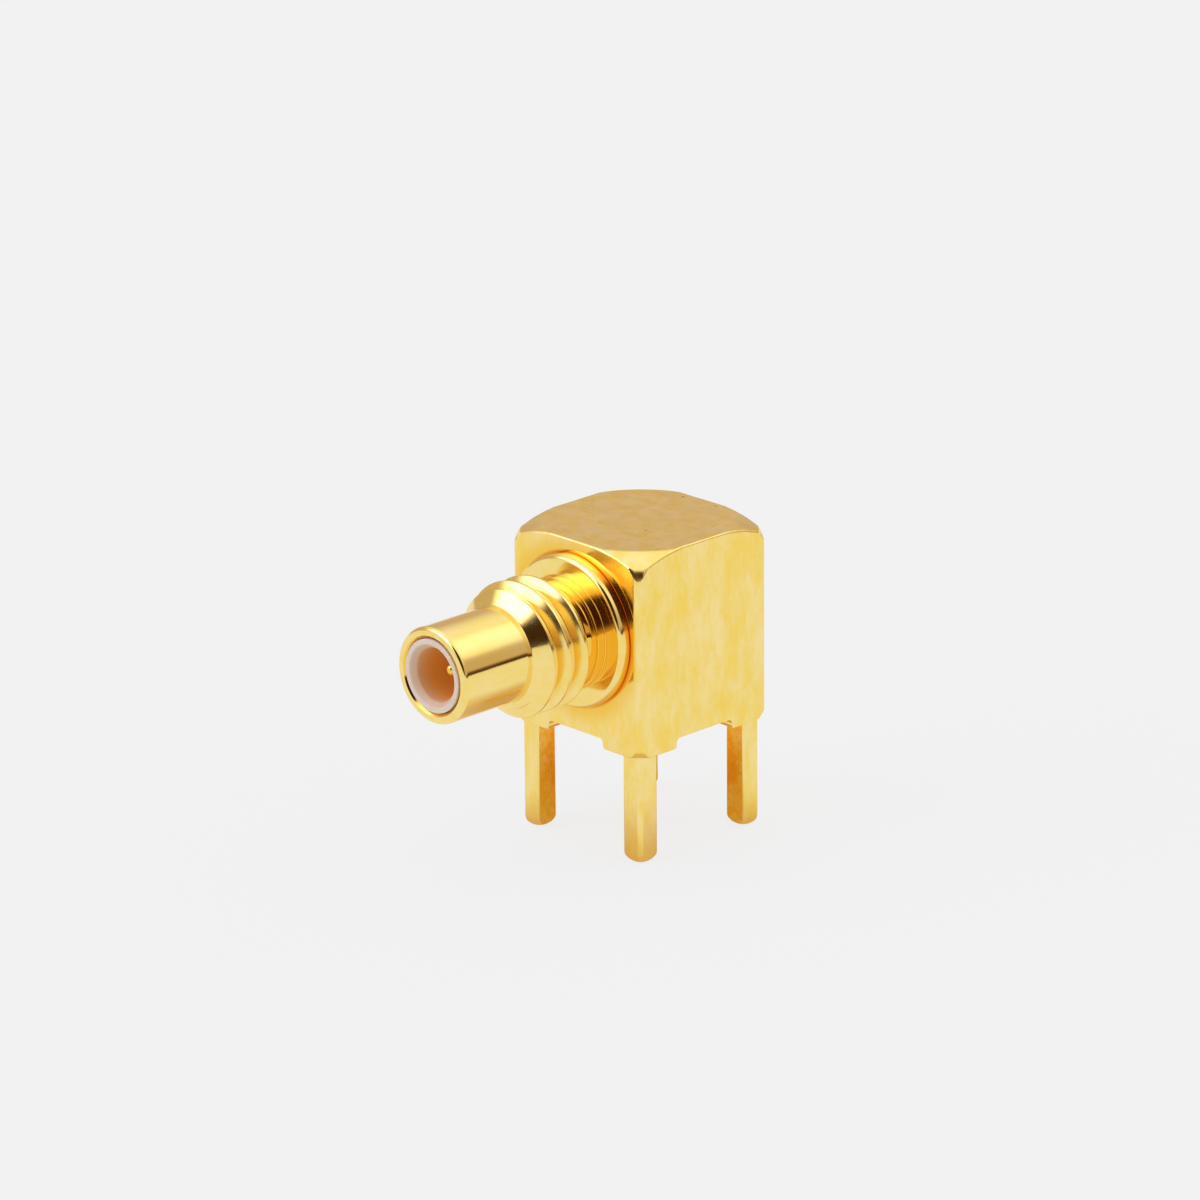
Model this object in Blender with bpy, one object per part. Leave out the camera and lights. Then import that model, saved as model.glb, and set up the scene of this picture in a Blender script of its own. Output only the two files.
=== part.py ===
"""A right-angle coaxial jack for a printed board: gold-plated brass with white plastic insulators.

The barrel points along -Y and the legs go down along -Z. The origin lies on the board's surface, in the
middle of the four legs.
"""

import math

import bmesh
import bpy

MM = 0.001

# Legs, one in each corner, turned round their outer corners and drawn in to a blunt tip
LEG_PITCH = 5.08 * MM
LEG_WIDTH = 0.85 * MM
LEG_LENGTH = 3.98 * MM
LEG_TAPER = 0.05 * MM
LEG_EDGE_ROUND = 0.05 * MM
LEG_TIP_INSET = 0.37 * MM
LEG_TIP_LENGTH = 0.50 * MM

# Body: a square bar, a little wider than the legs' outer faces, turned at its corners, top and foot
LEG_INSET = 0.21 * MM
BODY_WIDTH = LEG_PITCH + LEG_WIDTH + 2 * LEG_INSET
BODY_HEIGHT = 7.32 * MM
CORNER_TRIM = 0.14 * MM
CORNER_RADIUS = BODY_WIDTH / math.sqrt(2) - CORNER_TRIM
TOP_CONE_WIDTH = 1.03 * MM
TOP_LEAN_INSIDE = math.radians(14)
TOP_LEAN_OUTSIDE = math.radians(31)
TOP_CORNER_ROUND = 0.40 * MM
FOOT_CHAMFER_WIDTH = 0.19 * MM
FOOT_CHAMFER_RISE = 0.28 * MM
LEG_BEHIND_FOOT = 0.06 * MM

# Stand-off pads, left when the foot is milled across both ways
PAD_WIDTH = 1.82 * MM
PAD_HEIGHT = 0.375 * MM
PAD_EDGE_ROUND = 0.14 * MM
RELIEF_FILLET = 0.16 * MM

# Barrel, measured along its axis from the body's front face
BARREL_HEIGHT = 4.09 * MM
SPIGOT_RADIUS = 1.90 * MM
SPIGOT_LENGTH = 1.05 * MM
SPIGOT_CHAMFER = 0.10 * MM
FLANGE_RADIUS = 2.76 * MM
FLANGE_THICKNESS = 0.445 * MM
FLANGE_EDGE_ROUND = 0.15 * MM
NECK_RADIUS = 2.02 * MM
NECK_LENGTH = 0.34 * MM
NECK_FILLET = 0.10 * MM
UNDERCUT_RADIUS = 1.95 * MM
UNDERCUT_LENGTH = 0.80 * MM
SHOULDER_LENGTH = 0.38 * MM
TUBE_RADIUS = 1.72 * MM
TUBE_LENGTH = 3.11 * MM
TUBE_WALL = 0.39 * MM
RIM_CHAMFER = 0.09 * MM
RIM_INNER_CHAMFER = 0.05 * MM

# Thread: 32 turns to the inch, right-handed, with 60 degree flanks
THREAD_RADIUS = 2.38 * MM
THREAD_LENGTH = 1.66 * MM
THREAD_PITCH = 25.4 / 32 * MM
THREAD_DEPTH = 0.41 * MM
THREAD_CREST = 0.10 * MM
THREAD_FLANK = math.radians(30)
THREAD_END_ANGLE = math.radians(210)
THREAD_TOOL_OVERRUN = 0.04 * MM
THREAD_EXTRA_TURNS = 0.5

# Insulators
SLEEVE_WALL = 0.355 * MM
SLEEVE_BORE_DEPTH = 3.54 * MM
SLEEVE_LEAD_IN = 0.17 * MM
SLEEVE_LEAD_IN_DEPTH = 0.22 * MM
SLEEVE_FLOOR = 0.80 * MM
INSULATOR_CHAMFER = 0.08 * MM
TAIL_INSULATOR_WALL = 0.89 * MM

# Contact and tail pin
PIN_RADIUS = 0.25 * MM
PIN_RECESS = 0.75 * MM
COLLAR_STEP = 0.17 * MM
COLLAR_LENGTH = 0.40 * MM
CONTACT_RADIUS = 0.45 * MM
CONTACT_PAST_TAIL = 0.75 * MM
CONTACT_CHAMFER = 0.08 * MM
TAIL_RADIUS = 0.38 * MM
TAIL_LENGTH = 3.70 * MM
TAIL_TOP_RADIUS = 0.24 * MM
TAIL_TOP_PAST_CONTACT = 0.10 * MM

# Bores in the body behind the spigot and above the tail insulator
CAVITY_CLEARANCE = 0.70 * MM
CAVITY_PAST_TAIL = 1.00 * MM
TAIL_BORE_PAST_AXIS = 0.80 * MM

# Clearances
PRESS_GAP = 0.02 * MM
SEAT_GAP = 0.01 * MM
CONTACT_CLEARANCE = 0.44 * MM
OVERRUN = 1 * MM

SEGMENTS = 64
SMALL_SEGMENTS = 32
BAR_SEGMENTS = 128
ARC_STEPS = 5
SMALL_ARC_STEPS = 3
MERGE = 0.0001 * MM
SHARP_ANGLE = math.radians(24)

# Radii and heights that follow from the sizes above
TOP_RADIUS = CORNER_RADIUS - TOP_CONE_WIDTH
FOOT_RADIUS = CORNER_RADIUS - FOOT_CHAMFER_WIDTH
LEG_TURNED_RADIUS = FOOT_RADIUS - LEG_BEHIND_FOOT
TAIL_INSULATOR_RADIUS = TAIL_RADIUS + PRESS_GAP + TAIL_INSULATOR_WALL
TAIL_INSULATOR_TOP = BARREL_HEIGHT - CONTACT_RADIUS - CONTACT_CLEARANCE
CAVITY_RADIUS = CONTACT_RADIUS + CAVITY_CLEARANCE
COLLAR_RADIUS = CONTACT_RADIUS + COLLAR_STEP

# Positions along the barrel's axis, forward of the body's front face
NECK_END = FLANGE_THICKNESS + NECK_LENGTH
UNDERCUT_END = NECK_END + UNDERCUT_LENGTH
THREAD_END = UNDERCUT_END + THREAD_LENGTH
SHOULDER_END = THREAD_END + SHOULDER_LENGTH
BARREL_FRONT = SHOULDER_END + TUBE_LENGTH
TAIL_BEHIND_FACE = BODY_WIDTH / 2
BARREL_BORE_RADIUS = TUBE_RADIUS - TUBE_WALL
INSULATOR_RADIUS = BARREL_BORE_RADIUS - PRESS_GAP
SLEEVE_BORE_RADIUS = INSULATOR_RADIUS - SLEEVE_WALL
SLEEVE_REAR = BARREL_FRONT - SLEEVE_BORE_DEPTH - SLEEVE_FLOOR


def clear_scene():
    for old in list(bpy.data.objects):
        bpy.data.objects.remove(old)


def metal_or_plastic(name, colour, roughness, metallic):
    material = bpy.data.materials.new(name)
    material.use_nodes = True
    shader = material.node_tree.nodes["Principled BSDF"]
    shader.inputs["Base Color"].default_value = (*colour, 1.0)
    shader.inputs["Roughness"].default_value = roughness
    shader.inputs["Metallic"].default_value = metallic
    return material


def add_object(name, mesh_builder, material=None):
    """A new object from a finished bmesh, with its faces outward."""
    bmesh.ops.remove_doubles(mesh_builder, verts=mesh_builder.verts, dist=MERGE)
    bmesh.ops.recalc_face_normals(mesh_builder, faces=mesh_builder.faces)
    mesh = bpy.data.meshes.new(name)
    mesh_builder.to_mesh(mesh)
    mesh_builder.free()
    if material:
        mesh.materials.append(material)
    made = bpy.data.objects.new(name, mesh)
    bpy.context.scene.collection.objects.link(made)
    return made


def arc(centre, radius, start, end, steps=ARC_STEPS):
    """Points (radius, height) of an arc in the profile plane, angles in degrees."""
    points = []
    for step in range(steps + 1):
        angle = math.radians(start + (end - start) * step / steps)
        points.append((centre[0] + radius * math.cos(angle), centre[1] + radius * math.sin(angle)))
    return points


def turned(name, profile, material=None, segments=SEGMENTS):
    """Turns a closed profile of (radius, height) points about Z."""
    build = bmesh.new()
    ring = [build.verts.new((radius, 0, height)) for radius, height in profile]
    edges = [build.edges.new((a, b)) for a, b in zip(ring, ring[1:] + ring[:1])
             if a.co.x > MERGE or b.co.x > MERGE]
    bmesh.ops.spin(
        build, geom=ring + edges, cent=(0, 0, 0), axis=(0, 0, 1), angle=math.tau, steps=segments,
        use_merge=True,
    )
    return add_object(name, build, material)


def lay_on_barrel_axis(piece):
    """Turns a piece made along +Z to point forward from the body's front face."""
    piece.rotation_euler = (math.pi / 2, 0, 0)
    piece.location = (0, -BODY_WIDTH / 2, BARREL_HEIGHT)


def as_tool(piece):
    piece.hide_render = True
    piece.display_type = "WIRE"
    return piece


def boolean(target, tool, operation="DIFFERENCE"):
    step = target.modifiers.new(tool.name, "BOOLEAN")
    step.operation = operation
    step.object = as_tool(tool)


def settle(piece):
    """Applies the piece's modifiers and shades it smooth, with its real edges kept sharp."""
    bpy.context.view_layer.update()
    graph = bpy.context.evaluated_depsgraph_get()
    solid = bpy.data.meshes.new_from_object(piece.evaluated_get(graph))
    piece.modifiers.clear()
    piece.data = solid
    solid.shade_smooth()
    solid.set_sharp_from_angle(angle=SHARP_ANGLE)


def box(name, low, high):
    build = bmesh.new()
    bmesh.ops.create_cube(build, size=1)
    for vertex in build.verts:
        for axis in range(3):
            vertex.co[axis] = high[axis] if vertex.co[axis] > 0 else low[axis]
    return add_object(name, build)


def rounded_square(half, corner, height, steps=SMALL_ARC_STEPS):
    """Points of a square with round corners, counter-clockwise."""
    points = []
    for quarter in range(4):
        turn = quarter * math.pi / 2
        for step in range(steps + 1):
            angle = turn + step / steps * math.pi / 2
            centre = half - corner
            diagonal = turn + math.pi / 4
            points.append((
                centre * math.sqrt(2) * math.cos(diagonal) + corner * math.cos(angle),
                centre * math.sqrt(2) * math.sin(diagonal) + corner * math.sin(angle),
                height,
            ))
    return points


def body_envelope():
    """The turned bar: flat top, bowed cone, rounded corner, corner radius and foot chamfer.

    The bow of the cone and the round of the corner are two arcs that meet at the outside lean.
    """
    middle_lean = (TOP_LEAN_INSIDE + TOP_LEAN_OUTSIDE) / 2
    half_sweep = (TOP_LEAN_OUTSIDE - TOP_LEAN_INSIDE) / 2
    round_centre = CORNER_RADIUS - TOP_CORNER_ROUND
    meeting = round_centre + TOP_CORNER_ROUND * math.sin(TOP_LEAN_OUTSIDE)
    bow = (meeting - TOP_RADIUS) / (2 * math.cos(middle_lean) * math.sin(half_sweep))
    bow_centre = (meeting - bow * math.sin(TOP_LEAN_OUTSIDE), BODY_HEIGHT - bow * math.cos(TOP_LEAN_INSIDE))
    round_height = bow_centre[1] + (bow - TOP_CORNER_ROUND) * math.cos(TOP_LEAN_OUTSIDE)
    outside = 90 - math.degrees(TOP_LEAN_OUTSIDE)
    inside = 90 - math.degrees(TOP_LEAN_INSIDE)
    profile = [(0, 0), (FOOT_RADIUS, 0), (CORNER_RADIUS, FOOT_CHAMFER_RISE)]
    profile += arc((round_centre, round_height), TOP_CORNER_ROUND, 0, outside)
    profile += arc(bow_centre, bow, outside, inside)[1:]
    profile += [(0, BODY_HEIGHT)]
    return turned("turned_bar", profile, segments=BAR_SEGMENTS)


def relief_cutter(name, turn):
    """A milled channel between two pads: filleted in its roof, with the pads' edges rounded."""
    half = BODY_WIDTH / 2 - PAD_WIDTH
    roof = arc((half - RELIEF_FILLET, PAD_HEIGHT - RELIEF_FILLET), RELIEF_FILLET, 0, 90, SMALL_ARC_STEPS)
    lip = arc((half + PAD_EDGE_ROUND, PAD_EDGE_ROUND), PAD_EDGE_ROUND, -90, -180, SMALL_ARC_STEPS)
    right = [(half + PAD_EDGE_ROUND, -OVERRUN)] + lip + roof
    outline = right + [(-x, z) for x, z in reversed(right)]
    build = bmesh.new()
    front = build.faces.new([build.verts.new((x, -BODY_WIDTH, z)) for x, z in outline])
    pushed = bmesh.ops.extrude_face_region(build, geom=[front], use_keep_orig=True)
    moved = [item for item in pushed["geom"] if isinstance(item, bmesh.types.BMVert)]
    bmesh.ops.translate(build, verts=moved, vec=(0, 2 * BODY_WIDTH, 0))
    cutter = add_object(name, build)
    cutter.rotation_euler.z = turn
    return cutter


def leg_blanks():
    """Four square legs with domed tips, whose outer corners are then turned to a slight taper."""
    build = bmesh.new()
    half = LEG_WIDTH / 2
    sections = [(half, LEG_EDGE_ROUND, PAD_HEIGHT / 2)]
    for step in range(ARC_STEPS + 1):
        angle = math.pi / 2 * step / ARC_STEPS
        left = half - LEG_TIP_INSET * (1 - math.cos(angle))
        height = LEG_TIP_LENGTH * (1 - math.sin(angle)) - LEG_LENGTH
        sections.append((left, LEG_EDGE_ROUND * left / half, height))
    for x_side in (-1, 1):
        for y_side in (-1, 1):
            rings = []
            for section in sections:
                rings.append([
                    build.verts.new((x + x_side * LEG_PITCH / 2, y + y_side * LEG_PITCH / 2, z))
                    for x, y, z in rounded_square(*section)
                ])
            for upper, lower in zip(rings, rings[1:]):
                for i in range(len(upper)):
                    build.faces.new((upper[i - 1], upper[i], lower[i], lower[i - 1]))
            build.faces.new(rings[0])
            build.faces.new(rings[-1])
    legs = add_object("leg_blanks", build)
    below = -LEG_LENGTH - OVERRUN
    profile = [
        (0, below), (LEG_TURNED_RADIUS - LEG_TAPER, below),
        (LEG_TURNED_RADIUS, 0), (LEG_TURNED_RADIUS, PAD_HEIGHT), (0, PAD_HEIGHT),
    ]
    boolean(legs, turned("leg_turning", profile, segments=BAR_SEGMENTS), "INTERSECT")
    return legs


def front_bore():
    """The seat of the barrel's spigot, and the narrower cavity round the contact behind it."""
    seat = SPIGOT_RADIUS + PRESS_GAP
    floor = -SPIGOT_LENGTH - SEAT_GAP
    end = -TAIL_BEHIND_FACE - CAVITY_PAST_TAIL
    profile = [
        (0, end), (CAVITY_RADIUS, end), (CAVITY_RADIUS, floor), (seat, floor), (seat, OVERRUN), (0, OVERRUN),
    ]
    bore = turned("front_bore", profile)
    lay_on_barrel_axis(bore)
    return bore


def tail_bore():
    """The bore from below that holds the tail insulator and meets the cavity."""
    radius = TAIL_INSULATOR_RADIUS + PRESS_GAP
    top = BARREL_HEIGHT + TAIL_BORE_PAST_AXIS
    return turned("tail_bore", [(0, -OVERRUN), (radius, -OVERRUN), (radius, top), (0, top)])


def make_body(gold):
    half = BODY_WIDTH / 2
    body = box("body", (-half, -half, -OVERRUN), (half, half, BODY_HEIGHT + OVERRUN))
    body.data.materials.append(gold)
    boolean(body, body_envelope(), "INTERSECT")
    boolean(body, relief_cutter("relief_along_y", 0))
    boolean(body, relief_cutter("relief_along_x", math.pi / 2))
    boolean(body, leg_blanks(), "UNION")
    boolean(body, front_bore())
    boolean(body, tail_bore())
    return body


def thread_tool():
    """The 60 degree tool's path: a flat-nosed V that winds back from the shoulder into the undercut."""
    root = THREAD_RADIUS - THREAD_DEPTH
    outside = THREAD_RADIUS + THREAD_TOOL_OVERRUN
    half_top = (THREAD_PITCH - THREAD_CREST) / 2 + THREAD_TOOL_OVERRUN * math.tan(THREAD_FLANK)
    half_nose = (THREAD_PITCH - THREAD_CREST) / 2 - THREAD_DEPTH * math.tan(THREAD_FLANK)
    first = NECK_END + half_nose + THREAD_TOOL_OVERRUN
    turns = math.ceil((SHOULDER_END - first) / THREAD_PITCH * SEGMENTS) / SEGMENTS + THREAD_EXTRA_TURNS
    steps = round(turns * SEGMENTS)
    section = [(root, -half_nose), (outside, -half_top), (outside, half_top), (root, half_nose)]
    build = bmesh.new()
    rings = []
    for step in range(steps + 1):
        angle = THREAD_END_ANGLE + math.tau * step / SEGMENTS
        climb = first + THREAD_PITCH * step / SEGMENTS
        rings.append([
            build.verts.new((radius * math.cos(angle), radius * math.sin(angle), climb + along))
            for radius, along in section
        ])
    for near, far in zip(rings, rings[1:]):
        for i in range(len(section)):
            build.faces.new((near[i - 1], near[i], far[i], far[i - 1]))
    build.faces.new(rings[0])
    build.faces.new(rings[-1])
    tool = add_object("thread_tool", build)
    lay_on_barrel_axis(tool)
    return tool


def barrel_profile():
    """Half section of the barrel, from the spigot's rear edge forward over the outside and back inside."""
    run_out = THREAD_RADIUS - UNDERCUT_RADIUS
    outside = [
        (SPIGOT_RADIUS - SPIGOT_CHAMFER, -SPIGOT_LENGTH),
        (SPIGOT_RADIUS, -SPIGOT_LENGTH + SPIGOT_CHAMFER),
        (SPIGOT_RADIUS, SEAT_GAP),
        (FLANGE_RADIUS, SEAT_GAP),
    ]
    edge = FLANGE_EDGE_ROUND
    outside += arc((FLANGE_RADIUS - edge, FLANGE_THICKNESS - edge), edge, 0, 90, SMALL_ARC_STEPS)
    fillet_centre = (NECK_RADIUS + NECK_FILLET, FLANGE_THICKNESS + NECK_FILLET)
    outside += arc(fillet_centre, NECK_FILLET, 270, 180, SMALL_ARC_STEPS)
    outside += [
        (NECK_RADIUS, NECK_END),
        (UNDERCUT_RADIUS, NECK_END),
        (UNDERCUT_RADIUS, UNDERCUT_END - run_out * math.tan(THREAD_FLANK)),
        (THREAD_RADIUS, UNDERCUT_END),
        (THREAD_RADIUS, THREAD_END),
        (TUBE_RADIUS, SHOULDER_END),
        (TUBE_RADIUS, BARREL_FRONT - RIM_CHAMFER),
        (TUBE_RADIUS - RIM_CHAMFER, BARREL_FRONT),
    ]
    inside = [
        (BARREL_BORE_RADIUS + RIM_INNER_CHAMFER, BARREL_FRONT),
        (BARREL_BORE_RADIUS, BARREL_FRONT - RIM_INNER_CHAMFER),
        (BARREL_BORE_RADIUS, -SPIGOT_LENGTH),
    ]
    return outside + inside


def make_barrel(gold):
    barrel = turned("barrel", barrel_profile(), gold)
    lay_on_barrel_axis(barrel)
    boolean(barrel, thread_tool())
    return barrel


def make_front_insulator(plastic):
    floor = BARREL_FRONT - SLEEVE_BORE_DEPTH
    hole = PIN_RADIUS + PRESS_GAP
    profile = [
        (hole, SLEEVE_REAR),
        (INSULATOR_RADIUS - INSULATOR_CHAMFER, SLEEVE_REAR),
        (INSULATOR_RADIUS, SLEEVE_REAR + INSULATOR_CHAMFER),
        (INSULATOR_RADIUS, BARREL_FRONT),
        (SLEEVE_BORE_RADIUS + SLEEVE_LEAD_IN, BARREL_FRONT),
        (SLEEVE_BORE_RADIUS, BARREL_FRONT - SLEEVE_LEAD_IN_DEPTH),
        (SLEEVE_BORE_RADIUS, floor),
        (hole, floor),
    ]
    sleeve = turned("front_insulator", profile, plastic)
    lay_on_barrel_axis(sleeve)
    return sleeve


def make_rear_insulator(plastic):
    front = SLEEVE_REAR - SEAT_GAP
    pocket = front - COLLAR_LENGTH - 2 * SEAT_GAP
    hole = CONTACT_RADIUS + PRESS_GAP
    profile = [
        (hole, -SPIGOT_LENGTH),
        (INSULATOR_RADIUS - INSULATOR_CHAMFER, -SPIGOT_LENGTH),
        (INSULATOR_RADIUS, -SPIGOT_LENGTH + INSULATOR_CHAMFER),
        (INSULATOR_RADIUS, front),
        (COLLAR_RADIUS + PRESS_GAP, front),
        (COLLAR_RADIUS + PRESS_GAP, pocket),
        (hole, pocket),
    ]
    bush = turned("rear_insulator", profile, plastic)
    lay_on_barrel_axis(bush)
    return bush


def make_centre_contact(gold):
    tip = BARREL_FRONT - PIN_RECESS
    collar_front = SLEEVE_REAR - SEAT_GAP
    collar_rear = collar_front - COLLAR_LENGTH
    rear = -TAIL_BEHIND_FACE - CONTACT_PAST_TAIL
    profile = [
        (0, rear),
        (CONTACT_RADIUS - CONTACT_CHAMFER, rear),
        (CONTACT_RADIUS, rear + CONTACT_CHAMFER),
        (CONTACT_RADIUS, collar_rear),
        (COLLAR_RADIUS, collar_rear),
        (COLLAR_RADIUS, collar_front),
        (PIN_RADIUS, collar_front),
    ]
    profile += arc((0, tip - PIN_RADIUS), PIN_RADIUS, 0, 90)
    contact = turned("centre_contact", profile, gold, SMALL_SEGMENTS)
    lay_on_barrel_axis(contact)
    reach = 2 * CONTACT_RADIUS
    hole = TAIL_TOP_RADIUS + PRESS_GAP
    low, high = BARREL_HEIGHT - reach, BARREL_HEIGHT + reach
    boolean(contact, turned(
        "cross_hole", [(0, low), (hole, low), (hole, high), (0, high)], segments=SMALL_SEGMENTS))
    return contact


def make_tail_insulator(plastic):
    hole = TAIL_RADIUS + PRESS_GAP
    profile = [
        (hole, 0),
        (TAIL_INSULATOR_RADIUS, 0),
        (TAIL_INSULATOR_RADIUS, TAIL_INSULATOR_TOP - INSULATOR_CHAMFER),
        (TAIL_INSULATOR_RADIUS - INSULATOR_CHAMFER, TAIL_INSULATOR_TOP),
        (hole, TAIL_INSULATOR_TOP),
    ]
    return turned("tail_insulator", profile, plastic)


def make_tail_pin(gold):
    shoulder = BARREL_HEIGHT - CONTACT_RADIUS - SEAT_GAP
    top = BARREL_HEIGHT + CONTACT_RADIUS + TAIL_TOP_PAST_CONTACT
    profile = arc((0, TAIL_RADIUS - TAIL_LENGTH), TAIL_RADIUS, -90, 0)
    profile += [
        (TAIL_RADIUS, shoulder), (TAIL_TOP_RADIUS, shoulder), (TAIL_TOP_RADIUS, top), (0, top),
    ]
    return turned("tail_pin", profile, gold, SMALL_SEGMENTS)


def main():
    clear_scene()
    gold = metal_or_plastic("gold_plate", (0.86, 0.62, 0.22), 0.18, 1.0)
    plastic = metal_or_plastic("white_plastic", (0.86, 0.83, 0.84), 0.45, 0.0)
    pieces = [
        make_body(gold),
        make_barrel(gold),
        make_front_insulator(plastic),
        make_rear_insulator(plastic),
        make_centre_contact(gold),
        make_tail_insulator(plastic),
        make_tail_pin(gold),
    ]
    for piece in pieces:
        settle(piece)


main()
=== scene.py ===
# %% [markdown]
# A right-angle coaxial jack for a printed board, dressed for its picture.
#
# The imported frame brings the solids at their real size: body, barrel, insulators, contact and tail pin.
# They are exact but faceted, and polished gold shows every facet, because a mirror turns a small
# change of slope into a jump of light. So each piece that shows is turned, milled or cut again here
# with finer steps and with the small edge rounds that tumbling and plating leave.

# %% Load the frame
import math

import bpy
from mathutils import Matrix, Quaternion, Vector


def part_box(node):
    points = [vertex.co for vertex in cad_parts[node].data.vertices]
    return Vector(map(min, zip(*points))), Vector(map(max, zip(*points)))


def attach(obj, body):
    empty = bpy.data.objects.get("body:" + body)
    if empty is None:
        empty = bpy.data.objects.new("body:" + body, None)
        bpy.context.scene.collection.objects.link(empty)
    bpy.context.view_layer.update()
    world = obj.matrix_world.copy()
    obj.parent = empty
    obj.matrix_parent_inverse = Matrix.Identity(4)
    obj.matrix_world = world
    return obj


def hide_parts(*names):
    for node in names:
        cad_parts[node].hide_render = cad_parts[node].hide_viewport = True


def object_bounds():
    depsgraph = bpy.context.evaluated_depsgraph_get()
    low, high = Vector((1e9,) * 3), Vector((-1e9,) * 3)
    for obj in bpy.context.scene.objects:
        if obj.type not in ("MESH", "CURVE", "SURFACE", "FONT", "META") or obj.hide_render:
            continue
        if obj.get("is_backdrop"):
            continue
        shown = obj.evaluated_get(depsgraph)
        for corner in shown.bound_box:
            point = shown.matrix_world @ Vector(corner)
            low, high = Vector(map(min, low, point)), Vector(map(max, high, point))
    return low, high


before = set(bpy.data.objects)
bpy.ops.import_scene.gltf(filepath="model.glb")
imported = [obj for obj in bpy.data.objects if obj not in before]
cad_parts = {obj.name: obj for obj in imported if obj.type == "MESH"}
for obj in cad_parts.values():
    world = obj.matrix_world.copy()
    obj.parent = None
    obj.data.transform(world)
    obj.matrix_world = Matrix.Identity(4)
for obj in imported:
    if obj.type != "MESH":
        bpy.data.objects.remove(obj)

CAD_BOX = [list(corner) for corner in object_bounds()]
MM = 0.001
print("solids:", sorted(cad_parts))

# %% [markdown]
# The camera stands where the photograph was taken from: in front of the right front corner and a
# little above, with a long lens. It could be placed by eye, but the picture is compared line by line,
# so the view was worked out from the square body, the legs and the barrel's circles. The camera is
# aimed beside the connector, as in the photograph, and so the lens needs no shift.

# %% Camera
TARGET = Vector((0, 0, 3.5)) * MM
CAMERA_DISTANCE = 220 * MM
CAMERA_AZIMUTH = math.radians(45.56)
CAMERA_ELEVATION = math.radians(19.46)
CAMERA_ROLL = math.radians(-0.576)
PHOTO_SIDE = 1200
TARGET_PIXEL = Vector((639.93, 622.91))
PIXELS_PER_MM = 28.594
SENSOR_WIDTH = 36

away = Vector((
    math.sin(CAMERA_AZIMUTH) * math.cos(CAMERA_ELEVATION),
    -math.cos(CAMERA_AZIMUTH) * math.cos(CAMERA_ELEVATION),
    math.sin(CAMERA_ELEVATION),
))
eye = TARGET + away * CAMERA_DISTANCE
roll = Quaternion((0, 0, 1), CAMERA_ROLL)
level = (-away).to_track_quat("-Z", "Y") @ roll
off_centre = (TARGET_PIXEL - Vector((PHOTO_SIDE, PHOTO_SIDE)) / 2) / PIXELS_PER_MM * MM
aim = TARGET + level @ Vector((-off_centre.x, off_centre.y, 0))

lens = bpy.data.cameras.new("portrait_lens")
lens.sensor_width = SENSOR_WIDTH
lens.lens = PIXELS_PER_MM / MM * CAMERA_DISTANCE / PHOTO_SIDE * SENSOR_WIDTH
lens.clip_start = 1 * MM
lens.clip_end = 10
camera = bpy.data.objects.new("portrait_camera", lens)
bpy.context.scene.collection.objects.link(camera)
camera.location = eye
camera.rotation_mode = "QUATERNION"
camera.rotation_quaternion = (aim - eye).to_track_quat("-Z", "Y") @ roll
bpy.context.scene.camera = camera
bpy.context.scene.view_settings.view_transform = "Standard"
print("lens", round(lens.lens, 1), "mm")

# %% [markdown]
# Node helpers. A material is a small network, and the same few steps come back in each one: a sum, a
# ramp between two values, a band round one value, and a blend of two colours. Short functions keep the
# networks readable.

# %% Node helpers
def add_node(tree, kind, **settings):
    made = tree.nodes.new(kind)
    for name, value in settings.items():
        setattr(made, name, value)
    return made


def feed(tree, source, node, socket):
    """Joins an output to an input, or sets the input where the source is a plain value."""
    if isinstance(source, bpy.types.NodeSocket):
        tree.links.new(source, node.inputs[socket])
    else:
        node.inputs[socket].default_value = source


def maths(tree, operation, a, b=0.0):
    made = add_node(tree, "ShaderNodeMath", operation=operation)
    feed(tree, a, made, 0)
    feed(tree, b, made, 1)
    return made.outputs[0]


def ramp(tree, value, low, high, to_low=0.0, to_high=1.0):
    """A smooth step from to_low to to_high as the value goes from low to high."""
    made = add_node(tree, "ShaderNodeMapRange", interpolation_type="SMOOTHSTEP")
    feed(tree, value, made, "Value")
    for socket, number in (("From Min", low), ("From Max", high), ("To Min", to_low), ("To Max", to_high)):
        made.inputs[socket].default_value = number
    return made.outputs["Result"]


def band(tree, value, middle, full, end, most=1.0):
    """most within the full distance of a middle value, falling to 0 at the end distance."""
    off_middle = maths(tree, "ABSOLUTE", maths(tree, "SUBTRACT", value, middle))
    return ramp(tree, off_middle, full, end, most, 0.0)


def add_shares(tree, base, *shares):
    """A base value plus each share times its amount."""
    for share, amount in shares:
        base = maths(tree, "ADD", base, maths(tree, "MULTIPLY", share, amount))
    return base


def highest(tree, *values):
    peak = values[0]
    for value in values[1:]:
        peak = maths(tree, "MAXIMUM", peak, value)
    return peak


def blend_colours(tree, share, first, second):
    made = add_node(tree, "ShaderNodeMix", data_type="RGBA")
    feed(tree, share, made, 0)
    feed(tree, first, made, 6)
    feed(tree, second, made, 7)
    return made.outputs[2]


# %% [markdown]
# The light. The object was shot in a light tent: white walls all round, a lamp above the left front,
# another behind, an opening where the camera looks in, which polished gold shows as near-black, and a
# low gap in the walls behind the right. The dimmer walls are warm and the bright ones clean, so that
# the gold is pale where it is bright and brown where it is dim.
# Lamps and cards could be built as objects, but they would stand in the way of other views. A world
# gives the same soft light from infinitely far away, so each lamp is a soft patch round a direction.
# The gold mirrors the tent, and the direct view past the floor's edge is a plain pale backdrop.

# %% Light tent
def heading(azimuth, elevation):
    """A direction as the tent's walls are measured: azimuth 0 is the barrel's way, 90 the right."""
    turn = math.radians(azimuth)
    rise = math.radians(elevation)
    return Vector((math.sin(turn) * math.cos(rise), -math.cos(turn) * math.cos(rise), math.sin(rise)))


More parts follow.
